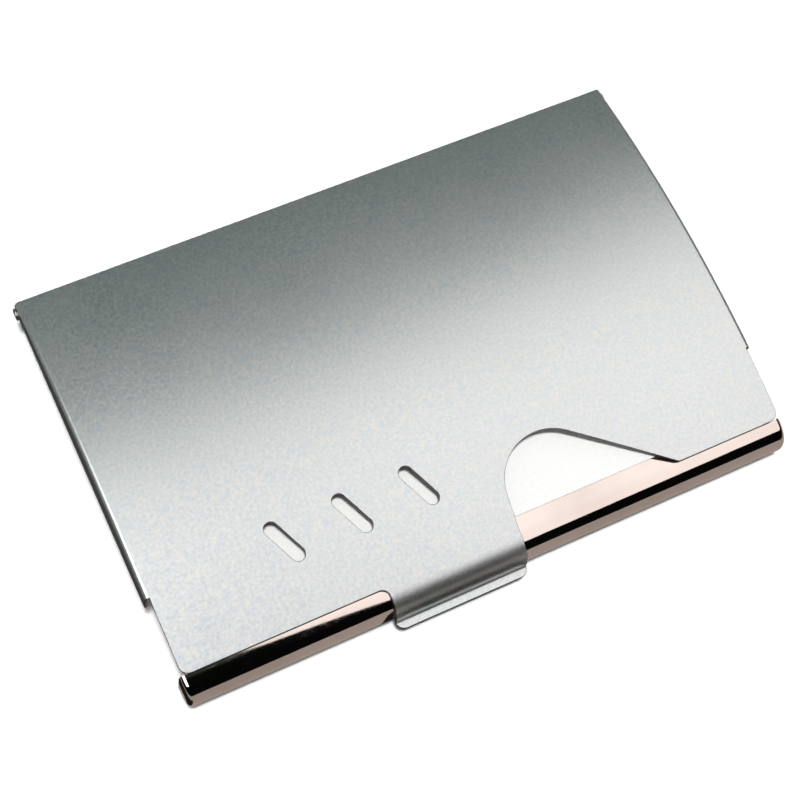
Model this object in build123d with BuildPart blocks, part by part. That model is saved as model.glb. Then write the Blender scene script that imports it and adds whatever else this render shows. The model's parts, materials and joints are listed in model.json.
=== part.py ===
from build123d import *
import os
from math import acos, asin, atan2, cos, degrees, floor, hypot, radians, sin, sqrt, tan

# Sheet-metal business card case, millimetres.
# X runs along the case's width, +Y points back to the hinge, +Z points up.
# The origin is the middle of the tray's flat underside.
# The cards set the pocket, the pocket sets the tray, and the tray sets the lid.

# ---- cards: a full stack ----
card_width = 85.0
card_depth = 55.0
card_thickness = 0.35
card_air = 0.01            # between one card and the next
card_shift = 0.45          # largest sideways stagger of a card in the stack
card_shift_turn = 2.4      # radians of the stagger's sine from one card to the next
card_slide = 0.08          # largest front-to-back stagger
card_slide_turn = 1.7

# ---- tray ----
tray_sheet = 0.5
roll_radius = 3.6          # bull-nose at the front: half of the tray's height
roll_inset = 0.3           # each end of the roll, inside the lid's width
roll_end_radius = 0.8
side_fold_radius = 1.2     # outside, floor to side walls; the rear fold is sharp inside
corner_notch = 1.2         # open slit between the rear wall and each side wall
notch_from = 1.4           # height of the slit's round lower end
wall_drop = 0.4            # side and rear walls, below the top of the roll
seat_depth = 1.9           # flat return behind the roll that the lid's front edge sits on

# ---- lid ----
lid_rise = 3.0             # height of the lid's arch above its front and rear edges
lid_sheet = 0.45
bend_radius = 0.7          # outside radius where the plate turns down into a flange
flange_below_hole = 0.45   # sheet left between the pivot hole and the flange's lower edge
flange_free = 11.0         # front stretch of the plate that has no flange
flange_corner = 0.5
plate_corner = 1.4         # rounding of the plate's two front corners

# ---- tab at the lid's front ----
tab_width = 20.3
tab_centre = -6.25
tab_wrap = 95.0            # degrees round the front roll, from straight up
tab_flare_radius = 0.6     # middle line of the bend that turns the thumb lip outward
lip_reach = 1.8            # thumb lip's front edge, ahead of the roll's nose
lip_corner = 1.3
tab_root_radius = 1.2

# ---- cut-outs in the plate, measured back from its front edge ----
window_radius = 7.4        # round end of the wave window
window_centre_back = 4.2
window_offset = 7.8        # from the tab's right edge to the round end's centre
window_slope = 37.0        # degrees, the long side that runs out to the front edge
window_end_radius = 1.0
slot_length = 6.9
slot_width = 2.05
slot_lean = 25.0           # degrees from the front-to-back direction
slot_pitch = 10.1
slot_count = 3
slot_back = 11.0
slot_from_tab = 0.35       # right-hand slot's centre, left of the tab's middle

# ---- hinge ----
rivet_radius = 0.5
rivet_shoulder = 1.17      # length between the tray's wall and the lid's flange
rivet_shoulder_step = 0.5  # shoulder beyond the neck, all round
rivet_head = 0.3
rivet_head_step = 0.4
rivet_head_round = 0.12
rivet_tail = 0.3
ear_wall = 0.45            # tray's side wall left round the rivet
pivot_inset = 1.0          # ahead of the lid's rear edge
pivot_drop = 1.0           # below the top of the roll

# ---- clearances ----
card_side_gap = 2.3
card_front_gap = 0.15      # first card behind the seat
card_rear_gap = 0.1
card_top_gap = 0.2         # least room between the stack and the seat's height
wrap_gap = 0.12            # lid sheet over the roll
front_overhang = 0.2       # plate's front edge ahead of the roll's centre
rear_wall_gap = 0.15       # tray's rear wall ahead of the lid's rear edge
pivot_gap = 0.03           # rivet in the flange's hole, all round
shoulder_gap = 0.08        # beside the flange, each face

over = 5.0                 # spare length on cutting shapes

# ---- places worked out from the sizes above ----
pocket_depth = card_front_gap + card_depth + card_rear_gap
tray_width = card_width + 2 * (card_side_gap + tray_sheet)
case_width = tray_width + 2 * (rivet_shoulder + shoulder_gap + lid_sheet)
roll_width = case_width - 2 * roll_inset
lid_depth = front_overhang + seat_depth + pocket_depth + tray_sheet + rear_wall_gap
front_y = -lid_depth / 2
rear_y = lid_depth / 2
roll_y = front_y + front_overhang
seat_back_y = roll_y + seat_depth
rear_wall_y = rear_y - rear_wall_gap
tray_height = 2 * roll_radius
wall_height = tray_height - wall_drop
pivot_y = rear_y - pivot_inset
pivot_height = tray_height - pivot_drop
flange_bottom_z = pivot_height - rivet_radius - pivot_gap - flange_below_hole
flange_inside_x = case_width / 2 - lid_sheet
plate_front_x = case_width / 2 - bend_radius
wrap_radius = roll_radius + wrap_gap
card_count = floor((tray_height - tray_sheet - card_top_gap) / (card_thickness + card_air))

# The plate's underside is part of a cylinder that touches the wrap round the roll.
arch_radius = ((lid_depth / 2) ** 2 + lid_rise ** 2) / (2 * lid_rise)
arch_z = roll_radius - sqrt((arch_radius - wrap_radius) ** 2 - roll_y ** 2)
arch_meets_wrap = degrees(atan2(roll_radius - arch_z, roll_y))
edge_z = arch_z + sqrt(arch_radius ** 2 - rear_y ** 2)
crown_z = arch_z + arch_radius

tab_left = tab_centre - tab_width / 2
tab_right = tab_centre + tab_width / 2
lip_y = roll_y - roll_radius - lip_reach
window_x = tab_right + window_offset
window_y = front_y + window_centre_back


def arch_section(radius, bottom):
    """Closed front-to-back section under an arch of this radius, down to this height."""
    reach = rear_y if radius > arch_radius else rear_y + over
    side_z = arch_z + sqrt(radius ** 2 - reach ** 2)
    ThreePointArc((-reach, side_z), (0, arch_z + radius), (reach, side_z))
    Polyline((reach, side_z), (reach, bottom), (-reach, bottom), (-reach, side_z))


def window_outline():
    """Wave window: straight side, round end, long slope back out to the front edge."""
    start = (tab_right, front_y)
    start_distance = hypot(start[0] - window_x, start[1] - window_y)
    to_start = degrees(atan2(start[1] - window_y, start[0] - window_x))
    first = to_start - degrees(acos(window_radius / start_distance))
    last = 90 - window_slope
    round_end = CenterArc((window_x, window_y), window_radius, first % 360, last - first % 360)
    slope_end_x = (round_end @ 1).X + ((round_end @ 1).Y - front_y + over) / tan(
        radians(window_slope))
    Line(start, round_end @ 0)
    Polyline(round_end @ 1, (slope_end_x, front_y - over), (tab_right, front_y - over), start)


# ---- lid: arched plate, side flanges, wrapped tab with its thumb lip ----
with BuildPart() as lid_hollow:
    with BuildSketch(Plane.YZ):
        with BuildLine():
            arch_section(arch_radius, flange_bottom_z - over)
        make_face()
    extrude(amount=flange_inside_x, both=True)
    fillet(
        lid_hollow.edges().filter_by(GeomType.CIRCLE),
        bend_radius - lid_sheet,
    )

with BuildPart() as lid:
    with BuildSketch(Plane.YZ):
        with BuildLine():
            arch_section(arch_radius + lid_sheet, flange_bottom_z)
        make_face()
    extrude(amount=case_width / 2, both=True)
    fillet(lid.edges().filter_by(GeomType.CIRCLE), bend_radius)
    add(lid_hollow.part, mode=Mode.SUBTRACT)

    middle_radius = wrap_radius + lid_sheet / 2
    root_angle = degrees(asin(tab_root_radius / arch_radius))
    with BuildSketch(Plane.YZ.offset(tab_left)):
        with BuildLine():
            root = CenterArc(
                (0, arch_z), arch_radius + lid_sheet / 2, arch_meets_wrap - root_angle, root_angle
            )
            wrap = CenterArc(
                (roll_y, roll_radius), middle_radius, arch_meets_wrap, 90 + tab_wrap - arch_meets_wrap
            )
            wrap_end = radians(90 + tab_wrap)
            flare_reach = middle_radius + tab_flare_radius
            flare = CenterArc(
                (roll_y + flare_reach * cos(wrap_end), roll_radius + flare_reach * sin(wrap_end)),
                tab_flare_radius,
                tab_wrap - 90,
                -tab_wrap,
            )
            Line(flare @ 1, (lip_y, (flare @ 1).Y))
        trace(line_width=lid_sheet)
    extrude(amount=tab_width)

    with BuildSketch(Plane.XY.offset(-over)) as plan:
        with Locations((0, (front_y + flange_free + rear_y) / 2)):
            Rectangle(case_width, rear_y - front_y - flange_free)
        with Locations((0, front_y + flange_free / 2)):
            Rectangle(2 * plate_front_x, flange_free)
        with Locations((tab_centre, (lip_y + front_y) / 2)):
            Rectangle(tab_width, front_y - lip_y)
        with BuildLine():
            window_outline()
        make_face(mode=Mode.SUBTRACT)
        slot_row_x = tab_centre - slot_from_tab - slot_pitch * (slot_count - 1) / 2
        with Locations((slot_row_x, front_y + slot_back)):
            with GridLocations(slot_pitch, 0, slot_count, 1):
                SlotOverall(slot_length, slot_width, rotation=90 + slot_lean, mode=Mode.SUBTRACT)
        slope_rise = window_centre_back + window_radius * cos(radians(window_slope))
        slope_x = window_x + window_radius * sin(radians(window_slope)) + slope_rise / tan(
            radians(window_slope))
        rounded_corners = [
            ((-plate_front_x, front_y), plate_corner),
            ((plate_front_x, front_y), plate_corner),
            ((tab_left, lip_y), lip_corner),
            ((tab_right, lip_y), lip_corner),
            ((tab_left, front_y), tab_root_radius),
            ((slope_x, front_y), window_end_radius),
        ]
        for corner, radius in rounded_corners:
            fillet(plan.vertices().sort_by_distance((*corner, -over))[0], radius)
    extrude(amount=crown_z + 2 * over, mode=Mode.INTERSECT)

    flange_ends = lid.edges().filter_by(Axis.X).filter_by(
        lambda e: abs(e.center().Z - flange_bottom_z) < lid_sheet
        and abs(e.center().Y - front_y - flange_free) < lid_sheet
        and e.length < bend_radius
    )
    fillet(flange_ends, flange_corner)

    with BuildSketch(Plane.YZ.offset(-case_width)):
        with Locations((pivot_y, pivot_height)):
            Circle(rivet_radius + pivot_gap)
    extrude(amount=2 * case_width, mode=Mode.SUBTRACT)

lid.part.label = "lid"

# ---- tray: floor, side and rear walls, bull-nosed front roll with the lid's seat ----
inside_x = tray_width / 2 - tray_sheet
inside_back_y = rear_wall_y - tray_sheet

with BuildPart() as pocket:
    with BuildSketch(Plane.XY.offset(tray_sheet)):
        with Locations((0, (roll_y + inside_back_y) / 2)):
            Rectangle(2 * inside_x, inside_back_y - roll_y)
    extrude(amount=2 * tray_height)
    side_folds = pocket.edges().filter_by(Axis.Y).group_by(Axis.Z)[0]
    fillet(side_folds, side_fold_radius - tray_sheet)
    with BuildSketch(Plane.XY.offset(tray_height - tray_sheet)):
        with Locations((0, (roll_y + seat_back_y) / 2 - over)):
            Rectangle(2 * roll_width, seat_back_y - roll_y + 2 * over)
    extrude(amount=2 * tray_height, mode=Mode.SUBTRACT)

with BuildPart() as roll_hollow:
    with BuildSketch(Plane.YZ):
        with BuildLine():
            CenterArc((roll_y, roll_radius), roll_radius - tray_sheet, 90, 180)
            Line((roll_y, tray_sheet), (roll_y, tray_height - tray_sheet))
        make_face()
    extrude(amount=roll_width / 2 - tray_sheet, both=True)
    fillet(roll_hollow.edges().filter_by(GeomType.CIRCLE), roll_end_radius - tray_sheet)

with BuildPart() as roll_solid:
    with BuildSketch(Plane.YZ):
        with BuildLine():
            CenterArc((roll_y, roll_radius), roll_radius, 90, 180)
            Line((roll_y, 0), (roll_y, tray_height))
        make_face()
    extrude(amount=roll_width / 2, both=True)
    fillet(roll_solid.edges().filter_by(GeomType.CIRCLE), roll_end_radius)

with BuildPart() as tray:
    with BuildSketch(Plane.XY):
        with Locations((0, (roll_y + rear_wall_y) / 2)):
            Rectangle(tray_width, rear_wall_y - roll_y)
    extrude(amount=tray_height)
    fillet(tray.edges().filter_by(Axis.Y).group_by(Axis.Z)[0], side_fold_radius)
    rear_fold = tray.faces().sort_by(Axis.Y)[-1].edges().filter_by(Axis.X).sort_by(Axis.Z)[0]
    fillet(rear_fold, tray_sheet)
    with BuildSketch(Plane.XY.offset(wall_height)):
        with Locations((0, seat_back_y + lid_depth / 2)):
            Rectangle(case_width, lid_depth)
    extrude(amount=tray_height, mode=Mode.SUBTRACT)
    add(roll_solid.part)
    add(pocket.part, mode=Mode.SUBTRACT)
    add(roll_hollow.part, mode=Mode.SUBTRACT)
    with BuildSketch(Plane.XZ.offset(-rear_wall_y)):
        notch_x = inside_x - corner_notch / 2
        notch_z = notch_from + (corner_notch + tray_height) / 2
        with Locations((-notch_x, notch_z), (notch_x, notch_z)):
            SlotCenterToCenter(tray_height, corner_notch, rotation=90)
    extrude(amount=2 * tray_sheet, both=True, mode=Mode.SUBTRACT)
    for side_x in (inside_x, -tray_width / 2):
        with BuildSketch(Plane.YZ.offset(side_x)):
            with Locations((pivot_y, pivot_height)):
                Circle(rivet_radius + ear_wall)
        extrude(amount=tray_sheet)
    with BuildSketch(Plane.YZ.offset(-case_width)):
        with Locations((pivot_y, pivot_height)):
            Circle(rivet_radius)
    extrude(amount=2 * case_width, mode=Mode.SUBTRACT)

tray.part.label = "tray"


# ---- hinge rivets: tail inside the tray, shoulder between the walls, head outside ----
def rivet_profile(side):
    """Half section of a shoulder rivet, drawn outward from the tray's wall."""
    wall_x = tray_width / 2
    shoulder_x = wall_x + rivet_shoulder
    head_x = case_width / 2 + shoulder_gap
    head_radius = rivet_radius + rivet_head_step
    shoulder_radius = rivet_radius + rivet_shoulder_step
    points = [
        (inside_x - rivet_tail, 0),
        (inside_x - rivet_tail, head_radius),
        (inside_x, head_radius),
        (inside_x, rivet_radius),
        (wall_x, rivet_radius),
        (wall_x, shoulder_radius),
        (shoulder_x, shoulder_radius),
        (shoulder_x, rivet_radius),
        (head_x, rivet_radius),
        (head_x, head_radius),
        (head_x + rivet_head, head_radius),
        (head_x + rivet_head, 0),
    ]
    Polyline([(side * x, r) for x, r in points], close=True)


pivot_plane = Plane((0, pivot_y, pivot_height), x_dir=(1, 0, 0), z_dir=(0, 0, 1))
pivot_axis = Axis((0, pivot_y, pivot_height), (1, 0, 0))
rivets = {}
for name, side in (("hinge_rivet_left", -1), ("hinge_rivet_right", 1)):
    with BuildPart() as rivet:
        with BuildSketch(pivot_plane):
            with BuildLine():
                rivet_profile(side)
            make_face()
        revolve(axis=pivot_axis)
        rims = rivet.edges().filter_by(GeomType.CIRCLE).sort_by(Axis.X)
        outer_rim = rims[-1] if side > 0 else rims[0]
        fillet(outer_rim, rivet_head_round)
    rivet.part.label = name
    rivets[name] = rivet.part

# ---- cards: a full stack, each a little out of line with the next ----
first_card_y = seat_back_y + card_front_gap + card_depth / 2
cards = {}
for number in range(card_count):
    name = f"card_{number + 1:02d}"
    shift = card_shift * sin(card_shift_turn * number)
    slide = card_slide * cos(card_slide_turn * number)
    with BuildPart() as card:
        with BuildSketch(Plane.XY.offset(tray_sheet + number * (card_thickness + card_air))):
            with Locations((shift, first_card_y + slide)):
                Rectangle(card_width, card_depth)
        extrude(amount=card_thickness)
    card.part.label = name
    cards[name] = card.part

os.makedirs("parts", exist_ok=True)
export_step(tray.part, "parts/tray.step")
export_step(lid.part, "parts/lid.step")
for name, piece in (rivets | cards).items():
    export_step(piece, f"parts/{name}.step")

print("lid edge underside", round(edge_z, 3), "crown top", round(crown_z + lid_sheet, 3))
print("case width", round(case_width, 3), "lid depth", round(lid_depth, 3), "cards", card_count)
print("flange bottom", round(flange_bottom_z, 3), "arch meets wrap", round(arch_meets_wrap, 2))
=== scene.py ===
import json
from math import acos, atan2, ceil, cos, degrees, pi, radians, sin, sqrt, tan

import bmesh
import bpy
from mathutils import Matrix, Vector


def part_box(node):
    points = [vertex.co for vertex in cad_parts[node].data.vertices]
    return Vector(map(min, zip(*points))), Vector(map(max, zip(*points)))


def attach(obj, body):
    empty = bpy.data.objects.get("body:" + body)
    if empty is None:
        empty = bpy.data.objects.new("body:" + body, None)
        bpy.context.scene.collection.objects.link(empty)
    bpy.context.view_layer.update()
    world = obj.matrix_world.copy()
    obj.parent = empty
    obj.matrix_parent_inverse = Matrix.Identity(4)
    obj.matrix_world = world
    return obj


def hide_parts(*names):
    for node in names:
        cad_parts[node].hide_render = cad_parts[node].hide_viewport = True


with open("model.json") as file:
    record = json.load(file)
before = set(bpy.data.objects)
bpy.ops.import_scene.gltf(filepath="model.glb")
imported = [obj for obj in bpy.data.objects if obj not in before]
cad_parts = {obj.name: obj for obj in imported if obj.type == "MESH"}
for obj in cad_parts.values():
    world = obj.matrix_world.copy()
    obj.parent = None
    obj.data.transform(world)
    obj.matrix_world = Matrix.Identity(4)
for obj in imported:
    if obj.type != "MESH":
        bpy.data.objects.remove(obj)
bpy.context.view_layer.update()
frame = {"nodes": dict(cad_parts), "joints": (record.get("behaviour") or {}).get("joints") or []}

MM = 0.001

# ---- the case's own places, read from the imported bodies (metres) ----
lid_low, lid_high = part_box("lid")
tray_low, tray_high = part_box("tray")
HALF_WIDTH = lid_high.x
REAR_Y = lid_high.y
FRONT_Y = -REAR_Y
LIP_Y = lid_low.y
CROWN_Z = lid_high.z
ROLL_RADIUS = tray_high.z / 2
ROLL_Y = tray_low.y + ROLL_RADIUS
ROLL_Z = ROLL_RADIUS

# ---- lid sheet (metres) ----
LID_SHEET = 0.45 * MM
LID_RISE = 3.0 * MM
DEBURR = 0.09 * MM           # rounding of every cut edge
BEND_RADIUS = 0.7 * MM
FLANGE_FREE = 11.0 * MM
FLANGE_BOTTOM_Z = 5.22 * MM
FLANGE_CORNER = 0.5 * MM
PLATE_CORNER = 1.4 * MM
TAB_WIDTH = 20.3 * MM
TAB_CENTRE = -6.25 * MM
TAB_WRAP = 95.0              # degrees
TAB_FLARE_RADIUS = 0.6 * MM
TAB_ROOT_RADIUS = 1.2 * MM
LIP_CORNER = 1.3 * MM
WRAP_GAP = 0.12 * MM
WINDOW_RADIUS = 7.4 * MM
WINDOW_CENTRE_BACK = 4.2 * MM
WINDOW_OFFSET = 7.8 * MM
WINDOW_SLOPE = 37.0          # degrees
WINDOW_END_RADIUS = 1.0 * MM
SLOT_LENGTH = 6.9 * MM
SLOT_WIDTH = 2.05 * MM
SLOT_LEAN = 25.0             # degrees
SLOT_PITCH = 10.1 * MM
SLOT_COUNT = 3
SLOT_BACK = 11.0 * MM
SLOT_FROM_TAB = 0.35 * MM
PIVOT_HOLE_RADIUS = 0.53 * MM

# ---- how finely the blanks are divided ----
ARC_STEP = 6.0               # degrees
CORNER_STEP = 10.0           # degrees
SLOT_END_STEP = 12.0         # degrees
PIVOT_HOLE_STEP = 15         # degrees
WRAP_STEP = 4.0              # degrees
FLARE_STEP = 12.0            # degrees
BEND_STEP = 11.0             # degrees
ARCH_STEP = 1.0 * MM
WIDTH_STEP = 3.0 * MM
FLANGE_EDGE_STEP = 1.2 * MM
CARD_STEP = 12 * MM
SHORTEST_EDGE = 0.002 * MM
EDGE_ROUND_STEPS = 3
SHARPEST_MITRE = 0.5         # least cosine that an inset corner's mitre is worked out with
CUT_TOLERANCE = 1e-4         # millimetres, as blanks are drawn in them
LEVEL_TOLERANCE = 2e-4       # millimetres
MERGE_TOLERANCE = 5e-4       # millimetres
RIM_MARGIN = 0.01            # share of the depth that still counts as a face
FACE_AREA_WEIGHT = 100       # shading follows the largest faces

# ---- worked out from the values above ----
ARCH_RADIUS = (REAR_Y ** 2 + LID_RISE ** 2) / (2 * LID_RISE) + LID_SHEET
ARCH_Z = CROWN_Z - ARCH_RADIUS
WRAP_RADIUS = ROLL_RADIUS + WRAP_GAP + LID_SHEET
WRAP_START = atan2(ROLL_Z - ARCH_Z, ROLL_Y)
WRAP_END = radians(90 + TAB_WRAP)
WRAP_LENGTH = WRAP_RADIUS * (WRAP_END - WRAP_START)
WRAP_START_Y = ROLL_Y + WRAP_RADIUS * cos(WRAP_START)
FLARE_RADIUS = TAB_FLARE_RADIUS - LID_SHEET / 2
FLARE_LENGTH = FLARE_RADIUS * radians(TAB_WRAP)
FLARE_REACH = WRAP_RADIUS + FLARE_RADIUS
FLARE_Y = ROLL_Y + FLARE_REACH * cos(WRAP_END)
FLARE_Z = ROLL_Z + FLARE_REACH * sin(WRAP_END)
LIP_LENGTH = FLARE_Y - LIP_Y
TAB_TIP = WRAP_START_Y - WRAP_LENGTH - FLARE_LENGTH - LIP_LENGTH
TAB_LEFT = TAB_CENTRE - TAB_WIDTH / 2
TAB_RIGHT = TAB_CENTRE + TAB_WIDTH / 2
PLATE_X = HALF_WIDTH - BEND_RADIUS
BEND_LENGTH = BEND_RADIUS * pi / 2
WINDOW_X = TAB_RIGHT + WINDOW_OFFSET
WINDOW_Y = FRONT_Y + WINDOW_CENTRE_BACK
PIVOT = Vector(frame["joints"][0]["pos_m"])


# ---------------------------------------------------------------- flat blanks
def arc(centre, radius, start, end, step=ARC_STEP):
    """Points on an arc, from one angle to another in degrees, ends included."""
    count = max(2, ceil(abs(end - start) / step) + 1)
    angles = [radians(start + (end - start) * i / (count - 1)) for i in range(count)]
    return [(centre[0] + radius * cos(a), centre[1] + radius * sin(a)) for a in angles]


def rounded(corners):
    """Outline through corners given as (x, y, radius), each rounded by its radius."""
    outline = []
    for i, (x, y, radius) in enumerate(corners):
        if radius == 0:
            outline.append((x, y))
            continue
        before = Vector(corners[i - 1][:2]) - Vector((x, y))
        after = Vector(corners[(i + 1) % len(corners)][:2]) - Vector((x, y))
        half = before.angle(after) / 2
        middle = (before.normalized() + after.normalized()).normalized()
        centre = Vector((x, y)) + middle * radius / sin(half)
        first = Vector((x, y)) + before.normalized() * radius / tan(half) - centre
        last = Vector((x, y)) + after.normalized() * radius / tan(half) - centre
        start = degrees(atan2(first.y, first.x))
        turn = (degrees(atan2(last.y, last.x)) - start + 180) % 360 - 180
        outline += arc(centre, radius, start, start + turn, CORNER_STEP)
    return outline


def inset(loop, distance):
    """The loop moved to its left by a distance, corner by corner."""
    moved = []
    for i, point in enumerate(loop):
        p = Vector(point)
        before = (p - Vector(loop[i - 1])).normalized()
        after = (Vector(loop[(i + 1) % len(loop)]) - p).normalized()
        left_before = Vector((-before.y, before.x))
        left_after = Vector((-after.y, after.x))
        mitre = (left_before + left_after).normalized()
        moved.append(p + mitre * distance / max(SHARPEST_MITRE, mitre.dot(left_after)))
    return moved


def without_repeats(loop):
    """The loop with points that fall on their neighbour left out."""
    return [p for i, p in enumerate(loop) if (Vector(p) - Vector(loop[i - 1])).length > SHORTEST_EDGE]


def edge_rings(thickness, round_off):
    """(inset, depth) of each ring of a rounded cut edge, from the top face to the bottom."""
    top = []
    for i in range(EDGE_ROUND_STEPS + 1):
        a = pi / 2 * i / EDGE_ROUND_STEPS
        top.append((round_off * (1 - sin(a)), round_off * (1 - cos(a))))
    return top + [(d, thickness - h) for d, h in reversed(top)]


def divide(bm, places, axis):
    """Cuts a blank's faces across an axis (0 is x, 1 is y) at each place, without parting them."""
    for place in places:
        at = Vector((0, 0, 0))
        normal = Vector((0, 0, 0))
        at[axis] = place / MM
        normal[axis] = 1
        everything = bm.verts[:] + bm.edges[:] + bm.faces[:]
        bmesh.ops.bisect_plane(bm, geom=everything, plane_co=at, plane_no=normal, dist=CUT_TOLERANCE)


def cut_blank(loops, thickness, round_off, cuts_y, cuts_x):
    """A flat blank with rounded edges, drawn in millimetres so that the mesh tools' tolerances
    suit it. The outer loop is anticlockwise, holes are clockwise, and depth is -z."""
    bm = bmesh.new()
    cap = bm.faces.layers.int.new("cap")
    rings = edge_rings(thickness, round_off)
    top_edges = []
    bottom_edges = []
    for loop in loops:
        loop = without_repeats(loop)
        rows = []
        for distance, depth in rings:
            flat = [(p.x / MM, p.y / MM, -depth / MM) for p in inset(loop, distance)]
            rows.append([bm.verts.new(co) for co in flat])
        for upper, lower in zip(rows, rows[1:]):
            for i in range(len(loop)):
                j = (i + 1) % len(loop)
                bm.faces.new((upper[j], upper[i], lower[i], lower[j]))
        top_edges += [bm.edges.get((rows[0][i - 1], rows[0][i])) for i in range(len(loop))]
        bottom_edges += [bm.edges.get((rows[-1][i - 1], rows[-1][i])) for i in range(len(loop))]
    for edges in (top_edges, bottom_edges):
        filled = bmesh.ops.triangle_fill(bm, edges=edges, use_beauty=True)
        for face in filled["geom"]:
            if isinstance(face, bmesh.types.BMFace):
                face[cap] = 1

    divide(bm, cuts_y, 1)
    fill_edges = []
    for edge in bm.edges:
        caps = len(edge.link_faces) == 2 and all(face[cap] for face in edge.link_faces)
        if caps and abs(edge.verts[0].co.y - edge.verts[1].co.y) > LEVEL_TOLERANCE:
            fill_edges.append(edge)
    bmesh.ops.dissolve_edges(bm, edges=fill_edges, use_verts=True)
    divide(bm, cuts_x, 0)
    bmesh.ops.remove_doubles(bm, verts=bm.verts[:], dist=MERGE_TOLERANCE)
    return bm


def add_object(name, data):
    """Object in the scene that holds this mesh, lamp or camera."""
    made = bpy.data.objects.new(name, data)
    bpy.context.scene.collection.objects.link(made)
    return made


def finish_piece(bm, name, place, rim_depth):
    """Bends the blank by place(x, y, depth), marks its cut edges and makes the object."""
    rim = bm.verts.layers.float.new("cut_edge")
    for vertex in bm.verts:
        depth = -vertex.co.z * MM
        vertex[rim] = 1.0 if RIM_MARGIN < depth / rim_depth < 1 - RIM_MARGIN else 0.0
        vertex.co = place(vertex.co.x * MM, vertex.co.y * MM, depth)
    bmesh.ops.recalc_face_normals(bm, faces=bm.faces[:])
    mesh = bpy.data.meshes.new(name)
    bm.to_mesh(mesh)
    bm.free()
    mesh.shade_smooth()
    piece = add_object(name, mesh)
    normals = piece.modifiers.new("even_normals", "WEIGHTED_NORMAL")
    normals.mode = "FACE_AREA"
    normals.weight = FACE_AREA_WEIGHT
    return piece


def steps_between(low, high, step):
    """Evenly spaced places strictly between low and high, about a step apart."""
    count = max(1, round((high - low) / step))
    return [low + (high - low) * i / count for i in range(1, count)]


# ---------------------------------------------------------------- lid
def lid_surface(v):
    """(y, z, normal y, normal z) of the lid's outside at flat place v."""
    if v >= WRAP_START_Y:
        z = sqrt(ARCH_RADIUS ** 2 - v ** 2)
        return v, ARCH_Z + z, v / ARCH_RADIUS, z / ARCH_RADIUS
    run = WRAP_START_Y - v
    if run <= WRAP_LENGTH:
        a = WRAP_START + run / WRAP_RADIUS
        return ROLL_Y + WRAP_RADIUS * cos(a), ROLL_Z + WRAP_RADIUS * sin(a), cos(a), sin(a)
    run -= WRAP_LENGTH
    if run <= FLARE_LENGTH:
        a = WRAP_END - pi - run / FLARE_RADIUS
        return FLARE_Y + FLARE_RADIUS * cos(a), FLARE_Z + FLARE_RADIUS * sin(a), -cos(a), -sin(a)
    return FLARE_Y - (run - FLARE_LENGTH), FLARE_Z - FLARE_RADIUS, 0, 1


def bend_lid(u, v, depth):
    """Place in the bent lid of a point of its blank, this deep in the sheet."""
    y, z, ny, nz = lid_surface(v)
    side = 1 if u > 0 else -1
    past = abs(u) - PLATE_X
    if past <= 0:
        return Vector((u, y - ny * depth, z - nz * depth))
    turn = min(past / BEND_RADIUS, pi / 2)
    drop = max(0, past - BEND_LENGTH)
    reach = (BEND_RADIUS - depth) * sin(turn)
    down = BEND_RADIUS - (BEND_RADIUS - depth) * cos(turn) + drop
    return Vector((side * (PLATE_X + reach), y - ny * depth * cos(turn), z - down))


def flange_edge(v):
    """Flat distance from the case's middle to the flange's lower edge at v."""
    return PLATE_X + BEND_LENGTH + lid_surface(v)[1] - BEND_RADIUS - FLANGE_BOTTOM_Z


def lid_outline():
    """Outer loop of the lid's blank, anticlockwise from the tab's left tip corner."""
    flange_front = FRONT_Y + FLANGE_FREE
    tab = [(TAB_LEFT, TAB_TIP, LIP_CORNER), (TAB_RIGHT, TAB_TIP, LIP_CORNER)]
    to_start = Vector((TAB_RIGHT - WINDOW_X, FRONT_Y - WINDOW_Y))
    first = degrees(atan2(to_start.y, to_start.x)) - degrees(acos(WINDOW_RADIUS / to_start.length))
    window = arc((WINDOW_X, WINDOW_Y), WINDOW_RADIUS, first % 360, 90 - WINDOW_SLOPE)
    slope_rise = window[-1][1] - FRONT_Y
    slope_end_x = window[-1][0] + slope_rise / tan(radians(WINDOW_SLOPE))
    lower = steps_between(flange_front, REAR_Y, FLANGE_EDGE_STEP)
    front_right = [(slope_end_x, FRONT_Y, WINDOW_END_RADIUS), (PLATE_X, FRONT_Y, PLATE_CORNER)]
    right_end = [
        (PLATE_X, flange_front, 0),
        (flange_edge(flange_front), flange_front, FLANGE_CORNER),
    ]
    corners = (
        tab
        + [(TAB_RIGHT, FRONT_Y, 0)]
        + [(x, y, 0) for x, y in window]
        + front_right
        + right_end
        + [(flange_edge(v), v, 0) for v in lower]
        + [(flange_edge(REAR_Y), REAR_Y, 0), (-flange_edge(REAR_Y), REAR_Y, 0)]
        + [(-flange_edge(v), v, 0) for v in reversed(lower)]
        + [(-x, y, r) for x, y, r in reversed(right_end)]
        + [(-PLATE_X, FRONT_Y, PLATE_CORNER), (TAB_LEFT, FRONT_Y, TAB_ROOT_RADIUS)]
    )
    return rounded(corners)


def slot_outline(x, y):
    """A slanted slot, clockwise."""
    lean = 90 + SLOT_LEAN
    along = Vector((cos(radians(lean)), sin(radians(lean)))) * (SLOT_LENGTH - SLOT_WIDTH) / 2
    centre = Vector((x, y))
    near = arc(centre - along, SLOT_WIDTH / 2, lean - 90, lean - 270, SLOT_END_STEP)
    far = arc(centre + along, SLOT_WIDTH / 2, lean + 90, lean - 90, SLOT_END_STEP)
    return near + far


def pivot_outline(side):
    """The rivet's hole in a flange, clockwise."""
    z = lid_surface(PIVOT.y)[1]
    u = PLATE_X + BEND_LENGTH + z - BEND_RADIUS - PIVOT.z
    return arc((side * u, PIVOT.y), PIVOT_HOLE_RADIUS, 360, PIVOT_HOLE_STEP, PIVOT_HOLE_STEP)


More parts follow.
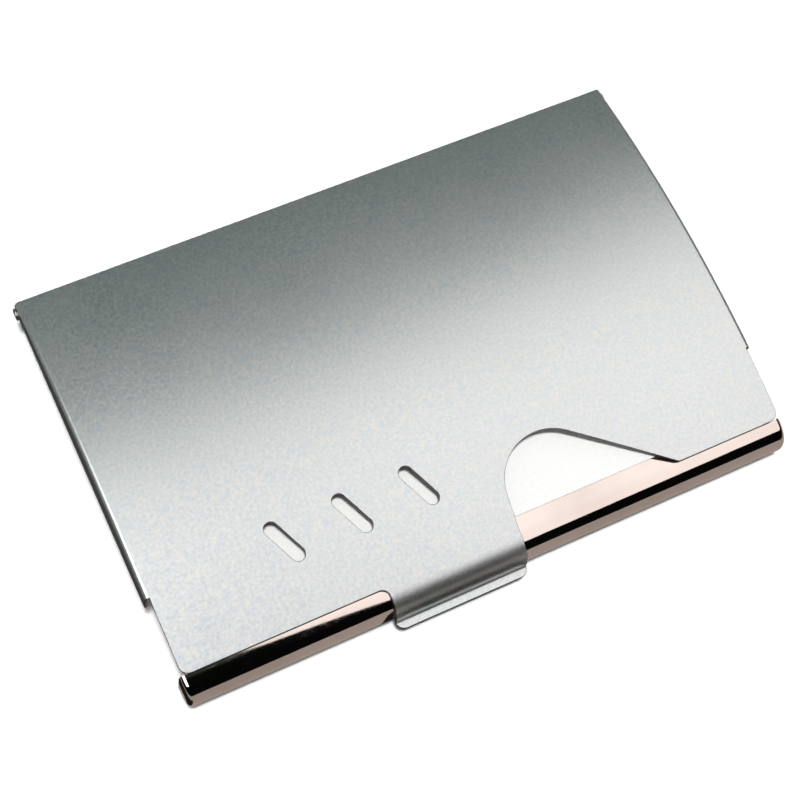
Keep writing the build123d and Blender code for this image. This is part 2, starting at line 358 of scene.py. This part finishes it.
def make_lid():
    """The lid: its blank with slots, window and pivot holes, bent to shape."""
    last_slot = TAB_CENTRE - SLOT_FROM_TAB
    slot_y = FRONT_Y + SLOT_BACK
    slots = [slot_outline(last_slot - i * SLOT_PITCH, slot_y) for i in range(SLOT_COUNT)]
    holes = slots + [pivot_outline(side) for side in (-1, 1)]
    wrap_low = WRAP_START_Y - WRAP_LENGTH
    flare_low = wrap_low - FLARE_LENGTH
    cuts_y = steps_between(WRAP_START_Y, REAR_Y, ARCH_STEP) + [WRAP_START_Y]
    cuts_y += steps_between(wrap_low, WRAP_START_Y, WRAP_RADIUS * radians(WRAP_STEP)) + [wrap_low]
    cuts_y += steps_between(flare_low, wrap_low, FLARE_RADIUS * radians(FLARE_STEP)) + [flare_low]
    bend_end = PLATE_X + BEND_LENGTH
    bends = [PLATE_X] + steps_between(PLATE_X, bend_end, BEND_RADIUS * radians(BEND_STEP)) + [bend_end]
    cuts_x = steps_between(-PLATE_X, PLATE_X, WIDTH_STEP) + bends + [-x for x in bends]
    blank = cut_blank([lid_outline()] + holes, LID_SHEET, DEBURR, cuts_y, cuts_x)
    lid = finish_piece(blank, "satin_lid", bend_lid, LID_SHEET)
    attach(lid, "lid")
    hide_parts("lid")
    return lid


# ---------------------------------------------------------------- cards
CARD_EDGE = 0.05 * MM


def make_card(node):
    """One card of the stack, in the place and size of its node."""
    low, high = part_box(node)
    size = high - low
    outline = [(0, 0), (size.x, 0), (size.x, size.y), (0, size.y)]
    cuts_x = steps_between(0, size.x, CARD_STEP)
    cuts_y = steps_between(0, size.y, CARD_STEP)
    blank = cut_blank([outline], size.z, CARD_EDGE, cuts_y, cuts_x)

    def lay(x, y, depth):
        return Vector((low.x + x, low.y + y, high.z - depth))

    card = finish_piece(blank, node.replace("card", "white_card"), lay, size.z)
    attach(card, "tray")
    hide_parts(node)
    return card


# ---------------------------------------------------------------- camera
VIEW_AZIMUTH = -42.5
VIEW_ELEVATION = 67.9
VIEW_ROLL = 18.3
VIEW_DISTANCE = 0.2644
VIEW_TARGET = Vector((-0.0010, -0.0028, 0.0))
LENS_MM = 82.0
SENSOR_MM = 36.0
NEAREST_SEEN = 0.01


def direction(azimuth, elevation):
    """Unit vector towards a place at this azimuth (0 is in front of the case) and elevation."""
    a = radians(azimuth)
    e = radians(elevation)
    return Vector((sin(a) * cos(e), -cos(a) * cos(e), sin(e)))


def make_camera():
    data = bpy.data.cameras.new("camera")
    data.lens = LENS_MM
    data.sensor_width = SENSOR_MM
    data.clip_start = NEAREST_SEEN
    camera = add_object("camera", data)
    back = direction(VIEW_AZIMUTH, VIEW_ELEVATION)
    level = (-back).to_track_quat("-Z", "Y").to_matrix().to_4x4()
    place = Matrix.Translation(VIEW_TARGET + back * VIEW_DISTANCE)
    camera.matrix_world = place @ level @ Matrix.Rotation(radians(VIEW_ROLL), 4, "Z")
    bpy.context.scene.camera = camera


# ---------------------------------------------------------------- shader groups
NOISE_LOW = 0.3              # noise seldom leaves this range
NOISE_HIGH = 0.7
HAIRLINE_STARTS = 0.56
HAIRLINE_FULL = 0.72
HAIRLINE_PATCH = 6 * MM
PATCH_STARTS = 0.4
PATCH_FULL = 0.62
# how far noise breaks up the cut-edge mask, which places the lid's painted shade
EDGE_BREAKUP = 0.3


def new_group(name, inputs, outputs):
    """Empty shader group: inputs are (label, value), outputs are labels, all plain numbers."""
    tree = bpy.data.node_groups.new(name, "ShaderNodeTree")
    for label, value in inputs:
        socket = tree.interface.new_socket(label, in_out="INPUT", socket_type="NodeSocketFloat")
        socket.default_value = value
    for label in outputs:
        tree.interface.new_socket(label, in_out="OUTPUT", socket_type="NodeSocketFloat")
    return tree, tree.nodes.new("NodeGroupInput"), tree.nodes.new("NodeGroupOutput")


def math_node(tree, operation, first, second):
    """Math node; each operand is a socket or a number."""
    node = tree.nodes.new("ShaderNodeMath")
    node.operation = operation
    for slot, operand in zip(node.inputs, (first, second)):
        if isinstance(operand, (int, float)):
            slot.default_value = operand
        else:
            tree.links.new(operand, slot)
    return node.outputs["Value"]


def spread(tree, value, low=0.0, high=1.0, to_low=0.0, to_high=1.0, smooth=False):
    """The value's range low to high, stretched over to_low to to_high and held at its ends."""
    node = tree.nodes.new("ShaderNodeMapRange")
    node.interpolation_type = "SMOOTHSTEP" if smooth else "LINEAR"
    tree.links.new(value, node.inputs["Value"])
    labels = ("From Min", "From Max", "To Min", "To Max")
    for label, number in zip(labels, (low, high, to_low, to_high)):
        node.inputs[label].default_value = number
    return node.outputs["Result"]


def noise(tree, where, size, detail=2.0, rough=0.5):
    """Noise whose features are about this size; size is a socket or metres."""
    node = tree.nodes.new("ShaderNodeTexNoise")
    node.inputs["Detail"].default_value = detail
    node.inputs["Roughness"].default_value = rough
    tree.links.new(where, node.inputs["Vector"])
    if isinstance(size, float):
        node.inputs["Scale"].default_value = 1 / size
    else:
        tree.links.new(math_node(tree, "DIVIDE", 1.0, size), node.inputs["Scale"])
    return node.outputs["Fac"]


def place_on_piece(tree):
    """Place on the piece itself, which stays with it as it moves."""
    return tree.nodes.new("ShaderNodeTexCoord").outputs["Object"]


def make_speckle_group():
    """Fine grain, the soft blotches between its grains, and broad cloudy patches."""
    inputs = (("Grain size", 0.15 * MM), ("Blotch size", 0.6 * MM), ("Cloud size", 14 * MM))
    tree, given, result = new_group("speckle", inputs, ("Grain", "Blotch", "Cloud"))
    where = place_on_piece(tree)
    for label, size_label, detail in (
        ("Grain", "Grain size", 3.0),
        ("Blotch", "Blotch size", 2.0),
        ("Cloud", "Cloud size", 2.0),
    ):
        raw = noise(tree, where, given.outputs[size_label], detail)
        tree.links.new(spread(tree, raw, NOISE_LOW, NOISE_HIGH), result.inputs[label])
    return tree


def make_hairline_group():
    """Hairlines that run along x, in patches."""
    inputs = (("Length", 9 * MM), ("Width", 0.05 * MM), ("Amount", 0.5))
    tree, given, result = new_group("hairlines", inputs, ("Line",))
    where = place_on_piece(tree)
    split = tree.nodes.new("ShaderNodeSeparateXYZ")
    join = tree.nodes.new("ShaderNodeCombineXYZ")
    tree.links.new(where, split.inputs["Vector"])
    for axis, label in (("X", "Length"), ("Y", "Width"), ("Z", "Width")):
        scaled = math_node(tree, "DIVIDE", split.outputs[axis], given.outputs[label])
        tree.links.new(scaled, join.inputs[axis])
    stretched = noise(tree, join.outputs["Vector"], size=1.0, detail=3.0, rough=0.6)
    lines = spread(tree, stretched, HAIRLINE_STARTS, HAIRLINE_FULL)
    patches = spread(tree, noise(tree, where, HAIRLINE_PATCH), PATCH_STARTS, PATCH_FULL)
    broken = math_node(tree, "MULTIPLY", lines, patches)
    tree.links.new(math_node(tree, "MULTIPLY", broken, given.outputs["Amount"]), result.inputs["Line"])
    return tree


def make_cut_edge_group():
    """Mask of where the sheet was cut: full on the cut, broken up by noise in places on its rounding.
    On the lid it places painted shade, on the cards a real warmer tone.
    """
    tree, given, result = new_group("cut_edge", (("Wear size", 0.5 * MM),), ("Cut",))
    mark = tree.nodes.new("ShaderNodeAttribute")
    mark.attribute_name = "cut_edge"
    breakup_noise = noise(tree, place_on_piece(tree), given.outputs["Wear size"])
    breakup_shift = spread(tree, breakup_noise, NOISE_LOW, NOISE_HIGH, -EDGE_BREAKUP, EDGE_BREAKUP)
    broken_up_mark = math_node(tree, "ADD", mark.outputs["Fac"], breakup_shift)
    edge = spread(tree, broken_up_mark, EDGE_BREAKUP, 1 - EDGE_BREAKUP, smooth=True)
    tree.links.new(edge, result.inputs["Cut"])
    return tree


speckle_group = make_speckle_group()
hairline_group = make_hairline_group()
cut_edge_group = make_cut_edge_group()


# ---------------------------------------------------------------- materials
def new_material(name, metallic):
    """New material, with its node tree and its shader."""
    material = bpy.data.materials.new(name)
    material.use_nodes = True
    shader = material.node_tree.nodes["Principled BSDF"]
    shader.inputs["Metallic"].default_value = metallic
    return material, material.node_tree, shader


def use_group(tree, group, **values):
    """Places a group; values are its inputs' labels with _ for a space."""
    node = tree.nodes.new("ShaderNodeGroup")
    node.node_tree = group
    for label, value in values.items():
        node.inputs[label.replace("_", " ")].default_value = value
    return node.outputs


def tint(tree, factor, first, second):
    """Colour that goes from the first to the second; each is a colour or a socket."""
    node = tree.nodes.new("ShaderNodeMix")
    node.data_type = "RGBA"
    tree.links.new(factor, node.inputs["Factor"])
    for label, colour in (("A", first), ("B", second)):
        slot = next(s for s in node.inputs if s.name == label and s.type == "RGBA")
        if isinstance(colour, tuple):
            slot.default_value = (*colour, 1)
        else:
            tree.links.new(colour, slot)
    return next(s for s in node.outputs if s.type == "RGBA")


def add_bump(tree, shader, height, distance, strength=1.0):
    """Raises the surface by the height, up to a distance in metres."""
    bump = tree.nodes.new("ShaderNodeBump")
    bump.inputs["Distance"].default_value = distance
    bump.inputs["Strength"].default_value = strength
    tree.links.new(height, bump.inputs["Height"])
    tree.links.new(bump.outputs["Normal"], shader.inputs["Normal"])


def satin_steel():
    """Blasted satin finish of the lid: even grain, faint tints, and near-black painted shade on its
    cut edges.
    """
    material, tree, shader = new_material("satin_steel", 1.0)
    cool_grain = (0.51, 0.56, 0.60)
    warm_grain = (0.69, 0.66, 0.62)
    even_patch = (0.66, 0.66, 0.65)
    # near-black painted shade on the cut faces, standing in for the shadow and dark reflection seen
    # along every cut
    painted_shade_cut = (0.06, 0.05, 0.048)
    sizes = {"Grain_size": 0.13 * MM, "Blotch_size": 0.45 * MM, "Cloud_size": 16 * MM}
    speckle = use_group(tree, speckle_group, **sizes)
    cut = use_group(tree, cut_edge_group, Wear_size=0.4 * MM)["Cut"]
    steel = tint(tree, speckle["Blotch"], cool_grain, warm_grain)
    steel = tint(tree, math_node(tree, "MULTIPLY", speckle["Cloud"], 0.2), steel, even_patch)
    tree.links.new(tint(tree, cut, steel, painted_shade_cut), shader.inputs["Base Color"])
    rough = spread(tree, speckle["Blotch"], to_low=0.34, to_high=0.39)
    cloud = math_node(tree, "MULTIPLY", speckle["Cloud"], 0.03)
    tree.links.new(math_node(tree, "ADD", rough, cloud), shader.inputs["Roughness"])
    add_bump(tree, shader, speckle["Grain"], distance=0.006 * MM, strength=0.6)
    return material


def polished_steel():
    """Mirror polish of the tray, warm in tone, with hairlines and light smudges."""
    material, tree, shader = new_material("polished_steel", 1.0)
    deep_tone = (0.56, 0.475, 0.435)
    pale_tone = (0.635, 0.545, 0.50)
    scratch_tone = (0.66, 0.575, 0.525)
    sizes = {"Grain_size": 0.3 * MM, "Blotch_size": 2.5 * MM, "Cloud_size": 9 * MM}
    speckle = use_group(tree, speckle_group, **sizes)
    line = use_group(tree, hairline_group, Length=7 * MM, Width=0.06 * MM, Amount=0.8)["Line"]
    steel = tint(tree, speckle["Cloud"], deep_tone, pale_tone)
    tree.links.new(tint(tree, line, steel, scratch_tone), shader.inputs["Base Color"])
    smudge = spread(tree, speckle["Blotch"], low=0.55, to_low=0.045, to_high=0.085, smooth=True)
    scratch = math_node(tree, "MULTIPLY", line, 0.05)
    tree.links.new(math_node(tree, "ADD", smudge, scratch), shader.inputs["Roughness"])
    add_bump(tree, shader, line, distance=0.0006 * MM)
    return material


def rivet_steel():
    """Plain turned finish of the rivets, duller than the tray."""
    material, tree, shader = new_material("rivet_steel", 1.0)
    dark_grain = (0.50, 0.495, 0.48)
    light_grain = (0.60, 0.59, 0.57)
    dull_patch = (0.46, 0.45, 0.44)
    sizes = {"Grain_size": 0.08 * MM, "Blotch_size": 0.3 * MM, "Cloud_size": 1.5 * MM}
    speckle = use_group(tree, speckle_group, **sizes)
    line = use_group(tree, hairline_group, Length=1.5 * MM, Width=0.03 * MM, Amount=1.0)["Line"]
    steel = tint(tree, speckle["Blotch"], dark_grain, light_grain)
    tree.links.new(tint(tree, speckle["Cloud"], steel, dull_patch), shader.inputs["Base Color"])
    rough = spread(tree, speckle["Grain"], to_low=0.2, to_high=0.34)
    tree.links.new(rough, shader.inputs["Roughness"])
    add_bump(tree, shader, line, distance=0.002 * MM)
    return material


def card_stock():
    """Uncoated white card: soft fibres, a shade warmer along its guillotined edges."""
    material, tree, shader = new_material("card_stock", 0.0)
    shaded_white = (0.775, 0.775, 0.765)
    clean_white = (0.82, 0.815, 0.805)
    fibre_tone = (0.74, 0.735, 0.72)
    cut_tone = (0.74, 0.73, 0.70)
    sizes = {"Grain_size": 0.09 * MM, "Blotch_size": 0.5 * MM, "Cloud_size": 12 * MM}
    speckle = use_group(tree, speckle_group, **sizes)
    fibre = use_group(tree, hairline_group, Length=0.9 * MM, Width=0.1 * MM, Amount=1.0)["Line"]
    cut = use_group(tree, cut_edge_group, Wear_size=0.3 * MM)["Cut"]
    paper = tint(tree, speckle["Blotch"], shaded_white, clean_white)
    paper = tint(tree, math_node(tree, "MULTIPLY", fibre, 0.4), paper, fibre_tone)
    tree.links.new(tint(tree, cut, paper, cut_tone), shader.inputs["Base Color"])
    rough = spread(tree, speckle["Cloud"], to_low=0.52, to_high=0.66)
    tree.links.new(rough, shader.inputs["Roughness"])
    add_bump(tree, shader, math_node(tree, "ADD", speckle["Grain"], fibre), distance=0.006 * MM)
    return material


def put_on(piece, material):
    """Gives a piece made here its finish."""
    piece.data.materials.append(material)


def refinish(cad_piece, material):
    """Gives a carried-over piece a new finish, in the slots that it has."""
    for slot in cad_piece.material_slots:
        slot.material = material


lid_finish = satin_steel()
tray_finish = polished_steel()
rivet_finish = rivet_steel()
card_finish = card_stock()

make_camera()
put_on(make_lid(), lid_finish)
for node, cad_piece in frame["nodes"].items():
    if node.startswith("card_"):
        put_on(make_card(node), card_finish)
    elif node.startswith("hinge_rivet_"):
        refinish(cad_piece, rivet_finish)
    elif node == "tray":
        refinish(cad_piece, tray_finish)

# ---------------------------------------------------------------- studio
FLOOR_SIZE = 4.0
FLOOR_SHADE = 0.87
FLOOR_CLOUD = 1.01           # how many times as pale its clouds are
FLOOR_ROUGHNESS = 0.9
FLOOR_IN_METAL = (0.38, 0.35, 0.325)
FILL_LIGHT = 0.24
KEY_LIGHT = 1.02
KEY_SPREAD = 8.0             # degrees across, as seen from the case
KEY_TOWARDS = (-0.08, -0.09, 1)
BACKDROP = 1.0
ROOM_FRONT = 0.003
ROOM_REAR = 0.17
ROOM_RAMP = (-0.2, 0.5)      # where the room's light starts and stops rising, front to rear
ROOM_COLOUR = (0.76, 1.0, 0.93, 1)
WHITE = (1, 1, 1, 1)
BOX_HEIGHT = 0.6
BLACK_CARD_SHADE = (0.012, 0.012, 0.012, 1)
BLACK_CARD_LIFT = 0.1 * MM
SIDE_CARD_WIDTH = 32 * MM
SIDE_CARD_PAST = 8 * MM
TAB_CARD_UNDER = 4 * MM
TAB_CARD_REACH = 27 * MM
TAB_CARD_LEAN = 0.28
TAB_CARD_PAST = 2 * MM


def lay_sheet(name, corners, height):
    """Flat four-cornered sheet at this height, its corners anticlockwise."""
    mesh = bpy.data.meshes.new(name)
    mesh.from_pydata([(x, y, height) for x, y in corners], [], [(0, 1, 2, 3)])
    return add_object(name, mesh)


def make_floor():
    """Pale floor; a polished surface sees it a shade darker than the eye does."""
    half = FLOOR_SIZE / 2
    floor = lay_sheet("floor", [(-half, -half), (half, -half), (half, half), (-half, half)], 0)
    material, tree, shader = new_material("floor_paper", 0.0)
    shader.inputs["Roughness"].default_value = FLOOR_ROUGHNESS
    shader.inputs["Specular IOR Level"].default_value = 0.0
    sizes = {"Grain_size": 0.4 * MM, "Blotch_size": 3 * MM, "Cloud_size": 90 * MM}
    cloud = use_group(tree, speckle_group, **sizes)["Cloud"]
    path = tree.nodes.new("ShaderNodeLightPath")
    pale = tint(tree, cloud, (FLOOR_SHADE,) * 3, (FLOOR_SHADE * FLOOR_CLOUD,) * 3)
    shade = tint(tree, path.outputs["Is Glossy Ray"], pale, FLOOR_IN_METAL)
    tree.links.new(shade, shader.inputs["Base Color"])
    put_on(floor, material)


def make_black_card(name, corners):
    """Black card that lies beside the case, seen only in its metal."""
    card = lay_sheet(name, corners, BLACK_CARD_LIFT)
    material, _, shader = new_material(name, 0.0)
    shader.inputs["Base Color"].default_value = BLACK_CARD_SHADE
    shader.inputs["Roughness"].default_value = 1.0
    shader.inputs["Specular IOR Level"].default_value = 0.0
    put_on(card, material)
    for ray in ("camera", "diffuse", "transmission", "volume_scatter", "shadow"):
        setattr(card, "visible_" + ray, False)


def make_black_cards():
    """One along the left flange, and one ahead of the tab that darkens its turn."""
    right = -HALF_WIDTH
    left = right - SIDE_CARD_WIDTH
    front = LIP_Y - SIDE_CARD_PAST
    rear = REAR_Y + SIDE_CARD_PAST
    side = [(left, front), (right, front), (right, rear), (left, rear)]
    make_black_card("side_black_card", side)
    near = LIP_Y + TAB_CARD_UNDER
    far = LIP_Y - TAB_CARD_REACH
    skew = TAB_CARD_LEAN * (near - far)
    left = TAB_LEFT - TAB_CARD_PAST
    ahead = [(left + skew, far), (TAB_RIGHT + skew, far), (TAB_RIGHT, near), (left, near)]
    make_black_card("tab_black_card", ahead)


def make_softbox(name, towards, size, turn, brightness, colour):
    """Softbox overhead, seen only in metal. towards is the slope from the case's middle to its
    centre, size is in box heights, and turn is in degrees."""
    width, depth = (s * BOX_HEIGHT for s in size)
    lamp = bpy.data.lights.new(name, "AREA")
    lamp.shape = "RECTANGLE"
    lamp.size = width
    lamp.size_y = depth
    lamp.energy = brightness * pi * width * depth
    lamp.color = colour
    box = add_object(name, lamp)
    centre = Vector((towards[0], towards[1], 1)) * BOX_HEIGHT
    box.matrix_world = Matrix.Translation(centre) @ Matrix.Rotation(radians(turn), 4, "Z")
    box.visible_camera = False
    box.visible_diffuse = False


def make_key_light():
    """Distant light almost overhead, for cards and floor; the metal doesn't show it."""
    lamp = bpy.data.lights.new("key_light", "SUN")
    lamp.energy = KEY_LIGHT * pi
    lamp.angle = radians(KEY_SPREAD)
    key = add_object("key_light", lamp)
    key.matrix_world = Vector(KEY_TOWARDS).to_track_quat("Z", "Y").to_matrix().to_4x4()
    key.visible_glossy = False


def make_world():
    """White backdrop, an even fill for matt surfaces, and a darker room for the metal."""
    world = bpy.data.worlds.new("studio")
    bpy.context.scene.world = world
    world.use_nodes = True
    tree = world.node_tree
    tree.nodes.clear()
    output = tree.nodes.new("ShaderNodeOutputWorld")
    mix = tree.nodes.new("ShaderNodeMixShader")
    path = tree.nodes.new("ShaderNodeLightPath")
    soft = tree.nodes.new("ShaderNodeBackground")
    soft.inputs["Color"].default_value = WHITE
    room = tree.nodes.new("ShaderNodeBackground")
    room.inputs["Color"].default_value = ROOM_COLOUR
    split = tree.nodes.new("ShaderNodeSeparateXYZ")
    where = tree.nodes.new("ShaderNodeTexCoord").outputs["Generated"]
    tree.links.new(where, split.inputs["Vector"])
    towards_rear = spread(tree, split.outputs["Y"], *ROOM_RAMP, ROOM_FRONT, ROOM_REAR)
    tree.links.new(towards_rear, room.inputs["Strength"])
    backdrop = spread(tree, path.outputs["Is Camera Ray"], to_low=FILL_LIGHT, to_high=BACKDROP)
    tree.links.new(backdrop, soft.inputs["Strength"])
    tree.links.new(path.outputs["Is Glossy Ray"], mix.inputs["Fac"])
    tree.links.new(soft.outputs["Background"], mix.inputs[1])
    tree.links.new(room.outputs["Background"], mix.inputs[2])
    tree.links.new(mix.outputs["Shader"], output.inputs["Surface"])


bpy.context.scene.view_settings.view_transform = "Standard"
make_floor()
make_black_cards()
make_world()
make_key_light()
make_softbox(
    "right_softbox",
    towards=(0.61, -0.28),
    size=(0.98, 1.44),
    turn=12,
    brightness=1.53,
    colour=(1.0, 0.985, 0.98),
)
make_softbox(
    "left_softbox",
    towards=(-0.60, -0.27),
    size=(0.88, 1.26),
    turn=0,
    brightness=3.9,
    colour=(0.97, 0.985, 1.0),
)
